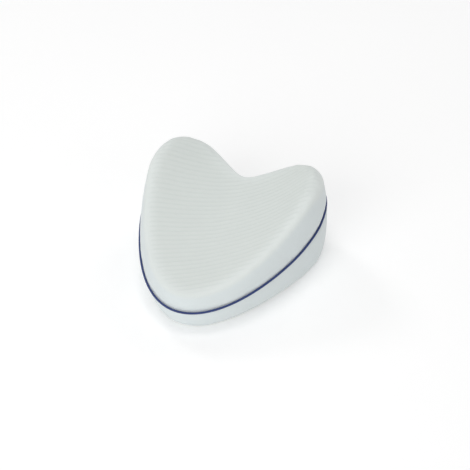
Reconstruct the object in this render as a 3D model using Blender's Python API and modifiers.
"""Contoured knee pillow: a heart-shaped foam cushion in a knit cover with a piped seam.

Metres, +Z up. The pillow lies on its lower face, as it is put down on a table: it stands
on the rims of its two lobes and on its tip, so it slopes down to the tip. +Y points from
the tip to the notch, +X to the right lobe. The origin is the bottom centre of its box.
"""

import math

import bmesh
import bpy
import numpy as np
from mathutils import Matrix, Vector
from mathutils.geometry import interpolate_bezier

# Outline of the seam in plan, right half. Y is counted from the widest line.
HALF_WIDTH = 0.115
LOBE_X = 0.0675
LOBE_Y = 0.066
NOTCH_Y = 0.0375
TIP_Y = -0.1815

# Reach of the curve's handles on each side of those points.
NOTCH_REACH = 0.0115
LOBE_REACH_IN = 0.021
LOBE_REACH_OUT = 0.0175
SIDE_REACH_UP = 0.057
SIDE_REACH_DOWN = 0.0405
TIP_REACH = 0.0675

# Saddle of each face: its height above the seam's plane in the valley, how much the sides
# rise above it at the tip and at the lobes, and the half width that this rise is given for.
VALLEY_AT_TIP = 0.0235
VALLEY_AT_LOBES = 0.0165
SIDE_RISE_AT_TIP = 0.0135
SIDE_RISE_AT_LOBES = 0.055
SADDLE_HALF_WIDTH = 0.107

# The lower face is the same saddle, a little deeper, and most of all at the tip.
LOWER_DEPTH_AT_TIP = 1.45
LOWER_DEPTH_AT_LOBES = 1.09

# The seam bows: at the tip and at the lobe tops it is this much higher than half way.
SEAM_BOW = 0.005

# How far the rounded rim reaches in from the wall before the face begins.
UPPER_RIM = 0.021
LOWER_RIM = 0.012

# The piping: a sewn cord, held half sunk in the seam.
PIPING_RADIUS = 0.0014
PIPING_STANDS_OUT = 0.0003
GAP = 0.0003

# How deep the foam is pressed flat where it rests, and how softly the flat spot begins.
PRESS = 0.004
PRESS_EDGE = 0.001

# Columns of the cage along each stretch of the half outline.
COLUMNS_NOTCH_TO_LOBE = 8
COLUMNS_LOBE_TO_SIDE = 6
COLUMNS_SIDE_TO_TIP = 10

# The sewn groove beside the piping: height off the seam, depth into the wall. It keeps
# GAP from the piping, and at its lips the cover stands out a little.
GROOVE_ROWS = (
    ("bottom", 0.0, 0.0016),
    ("side", 0.0013, 0.0011),
    ("lip", 0.002, 0.0001),
    ("swell", 0.0028, -0.0002),
)

# Wall and rim from the seam to the face: share of the rim's reach, share of the height.
WALL_ROWS = (
    ("low wall", 0.008, 0.200),
    ("mid wall", 0.050, 0.400),
    ("high wall", 0.145, 0.620),
    ("shoulder", 0.260, 0.810),
    ("rim", 0.420, 0.950),
    ("crest", 0.640, 1.012),
    ("face begins", 1.000, 1.000),
)

# Rings of the face: share of the way from the rim to the middle of the face.
FACE_ROWS = (0.25, 0.52, 0.78)
FACE_MIDDLE_Y = -0.025

# Linear colour, roughness.
KNIT_WHITE = (0.72, 0.77, 0.76, 1.0)
KNIT_ROUGHNESS = 0.9
CORD_NAVY = (0.012, 0.022, 0.105, 1.0)
CORD_ROUGHNESS = 0.65


def half_outline(steps):
    """Plan points from the notch over the right lobe and side to the tip."""
    notch = Vector((0, NOTCH_Y))
    lobe = Vector((LOBE_X, LOBE_Y))
    side = Vector((HALF_WIDTH, 0))
    tip = Vector((0, TIP_Y))
    across = Vector((1, 0))
    along = Vector((0, 1))
    stretches = (
        (notch, across * NOTCH_REACH, -across * LOBE_REACH_IN, lobe, COLUMNS_NOTCH_TO_LOBE),
        (lobe, across * LOBE_REACH_OUT, along * SIDE_REACH_UP, side, COLUMNS_LOBE_TO_SIDE),
        (side, -along * SIDE_REACH_DOWN, across * TIP_REACH, tip, COLUMNS_SIDE_TO_TIP),
    )
    points = []
    for start, leave, arrive, end, columns in stretches:
        curve = interpolate_bezier(start, start + leave, end + arrive, end, columns * steps + 1)
        points += curve[:-1]
    return points + [tip]


def outline(steps=1):
    """The whole closed outline, clockwise from the notch, with the way inward at each point."""
    right = half_outline(steps)
    left = [Vector((-p.x, p.y)) for p in reversed(right[1:-1])]
    points = right + left
    inward = []
    for i, point in enumerate(points):
        along = points[(i + 1) % len(points)] - points[i - 1]
        inward.append(Vector((along.y, -along.x)).normalized())
    return points, inward


def share_along(y):
    """0 at the tip, 1 at the lobe tops."""
    return (y - TIP_Y) / (LOBE_Y - TIP_Y)


def face_height(x, y):
    """Height of the upper face above the seam's plane."""
    t = share_along(y)
    valley = VALLEY_AT_TIP + (VALLEY_AT_LOBES - VALLEY_AT_TIP) * t
    rise = SIDE_RISE_AT_TIP + (SIDE_RISE_AT_LOBES - SIDE_RISE_AT_TIP) * t
    return valley + rise * (x / SADDLE_HALF_WIDTH) ** 2


def seam_height(y):
    """The seam's own slow bow."""
    return 4 * SEAM_BOW * (share_along(y) - 0.5) ** 2


def side_height(side, x, y):
    """Signed height of the upper face, side 1, or of the lower face, side -1."""
    height = face_height(x, y)
    if side > 0:
        return height
    deeper = LOWER_DEPTH_AT_TIP + (LOWER_DEPTH_AT_LOBES - LOWER_DEPTH_AT_TIP) * share_along(y)
    return -height * deeper


def groove_ring(points, inward, side, off_seam, depth):
    """One ring of the groove that the piping lies in."""
    ring = []
    for point, way_in in zip(points, inward):
        place = point + way_in * depth
        ring.append(Vector((place.x, place.y, seam_height(point.y) + side * off_seam)))
    return ring


def wall_ring(points, inward, side, reach_share, height_share):
    """One ring of the wall or the rounded rim."""
    reach = UPPER_RIM if side > 0 else LOWER_RIM
    ring = []
    for point, way_in in zip(points, inward):
        place = point + way_in * reach * reach_share
        edge = point + way_in * reach
        seam = seam_height(point.y) * (1 - height_share)
        top = side_height(side, edge.x, edge.y) * height_share
        ring.append(Vector((place.x, place.y, seam + top)))
    return ring


def face_ring(points, inward, side, share):
    """One ring of the face, drawn in from the rim towards the face's middle."""
    reach = UPPER_RIM if side > 0 else LOWER_RIM
    middle = Vector((0, FACE_MIDDLE_Y))
    ring = []
    for point, way_in in zip(points, inward):
        place = (point + way_in * reach).lerp(middle, share)
        ring.append(Vector((place.x, place.y, side_height(side, place.x, place.y))))
    return ring


def half_rings(side):
    """Rings of the upper or lower half, from the bottom of the groove to the face."""
    points, inward = outline()
    rings = []
    for _, off_seam, depth in GROOVE_ROWS:
        rings.append(groove_ring(points, inward, side, off_seam, depth))
    for _, reach_share, height_share in WALL_ROWS:
        rings.append(wall_ring(points, inward, side, reach_share, height_share))
    for share in FACE_ROWS:
        rings.append(face_ring(points, inward, side, share))
    return rings


def pillow_rings():
    """All rings from the upper face's innermost one down to the lower face's."""
    upper = half_rings(1)
    lower = half_rings(-1)
    return np.array(upper[::-1] + lower[1:])


def softened(rings):
    """Where one level of smoothing brings the rings' points."""
    around = (np.roll(rings, 1, axis=1) + 6 * rings + np.roll(rings, -1, axis=1)) / 8
    result = around.copy()
    result[1:-1] = (around[:-2] + 6 * around[1:-1] + around[2:]) / 8
    return result


def cage_for(rings):
    """Rings that are fuller by what the smoothing draws in, so that it ends on the rings."""
    cage = rings.copy()
    for _ in range(12):
        cage += rings - softened(cage)
    return cage


def cage_mesh(rings):
    """A closed mesh: the rings joined by quads, each face closed by a fan round its middle."""
    mesh = bpy.data.meshes.new("pillow")
    form = bmesh.new()
    loops = [[form.verts.new(p) for p in ring] for ring in rings]
    for upper, lower in zip(loops, loops[1:]):
        for i in range(len(upper)):
            j = (i + 1) % len(upper)
            form.faces.new((upper[i], lower[i], lower[j], upper[j]))
    for side, loop in ((1, loops[0]), (-1, loops[-1])):
        centre = form.verts.new((0, FACE_MIDDLE_Y, side_height(side, 0, FACE_MIDDLE_Y)))
        for i in range(len(loop)):
            form.faces.new((loop[i], loop[(i + 1) % len(loop)], centre))
    bmesh.ops.recalc_face_normals(form, faces=form.faces)
    form.to_mesh(mesh)
    form.free()
    return mesh


def smoothed(mesh):
    """The mesh after one level of Subdivision Surface."""
    cage = bpy.data.objects.new("cage", mesh)
    bpy.context.scene.collection.objects.link(cage)
    soft = cage.modifiers.new("soft", "SUBSURF")
    soft.levels = 1
    soft.render_levels = 1
    graph = bpy.context.evaluated_depsgraph_get()
    result = bpy.data.meshes.new_from_object(cage.evaluated_get(graph))
    bpy.data.objects.remove(cage)
    bpy.data.meshes.remove(mesh)
    return result


def tilt_at_rest(points):
    """The slope at which the lobes and the tip touch the table together, in radians."""
    lobes = [p for p in points if p.y > FACE_MIDDLE_Y]
    tip = [p for p in points if p.y < FACE_MIDDLE_Y]
    low, high = 0.0, math.radians(30)
    for _ in range(40):
        angle = (low + high) / 2
        turn = Matrix.Rotation(angle, 3, "X")
        lobes_bottom = min((turn @ p).z for p in lobes)
        tip_bottom = min((turn @ p).z for p in tip)
        if lobes_bottom < tip_bottom:
            low = angle
        else:
            high = angle
    return angle


def resting_place(points):
    """Tilts the pillow, centres its box on the origin and presses it onto the table."""
    turn = Matrix.Rotation(tilt_at_rest(points), 4, "X")
    turned = [turn @ p for p in points]
    centre_y = (min(p.y for p in turned) + max(p.y for p in turned)) / 2
    bottom = min(p.z for p in turned)
    return Matrix.Translation((0, -centre_y, -bottom - PRESS)) @ turn


def press_flat(mesh):
    """Flattens the foam where it would reach below the table, with a soft edge."""
    for vertex in mesh.vertices:
        z = vertex.co.z
        if z < -PRESS_EDGE:
            vertex.co.z = 0
        elif z < PRESS_EDGE:
            vertex.co.z = (z + PRESS_EDGE) ** 2 / (4 * PRESS_EDGE)


def material(name, colour, roughness):
    finish = bpy.data.materials.new(name)
    finish.use_nodes = True
    shader = finish.node_tree.nodes["Principled BSDF"]
    shader.inputs["Base Color"].default_value = colour
    shader.inputs["Roughness"].default_value = roughness
    shader.inputs["Metallic"].default_value = 0.0
    return finish


def make_pillow(mesh, collection):
    """The foam in its two cover panels: one filled solid."""
    mesh.name = "pillow"
    mesh.shade_smooth()
    mesh.materials.append(material("white knit", KNIT_WHITE, KNIT_ROUGHNESS))
    pillow = bpy.data.objects.new("pillow", mesh)
    collection.objects.link(pillow)
    return pillow


def make_piping(place, collection):
    """The cord in the seam: a closed tube, with two points to each column of the cage."""
    path = bpy.data.curves.new("piping", "CURVE")
    path.dimensions = "3D"
    path.bevel_depth = PIPING_RADIUS
    path.bevel_resolution = 2
    points, inward = outline(steps=2)
    spline = path.splines.new("POLY")
    spline.points.add(len(points) - 1)
    spline.use_cyclic_u = True
    for knot, point, way_in in zip(spline.points, points, inward):
        centre = point - way_in * PIPING_STANDS_OUT
        spot = place @ Vector((centre.x, centre.y, seam_height(point.y)))
        knot.co = (*spot, 1)
    path.materials.append(material("navy cord", CORD_NAVY, CORD_ROUGHNESS))
    piping = bpy.data.objects.new("piping", path)
    collection.objects.link(piping)
    return piping


def main():
    for leftover in list(bpy.data.objects):
        bpy.data.objects.remove(leftover)
    collection = bpy.data.collections.new("knee_pillow")
    bpy.context.scene.collection.children.link(collection)

    mesh = smoothed(cage_mesh(cage_for(pillow_rings())))
    place = resting_place([vertex.co.copy() for vertex in mesh.vertices])
    mesh.transform(place)
    press_flat(mesh)
    make_pillow(mesh, collection)
    make_piping(place, collection)


main()
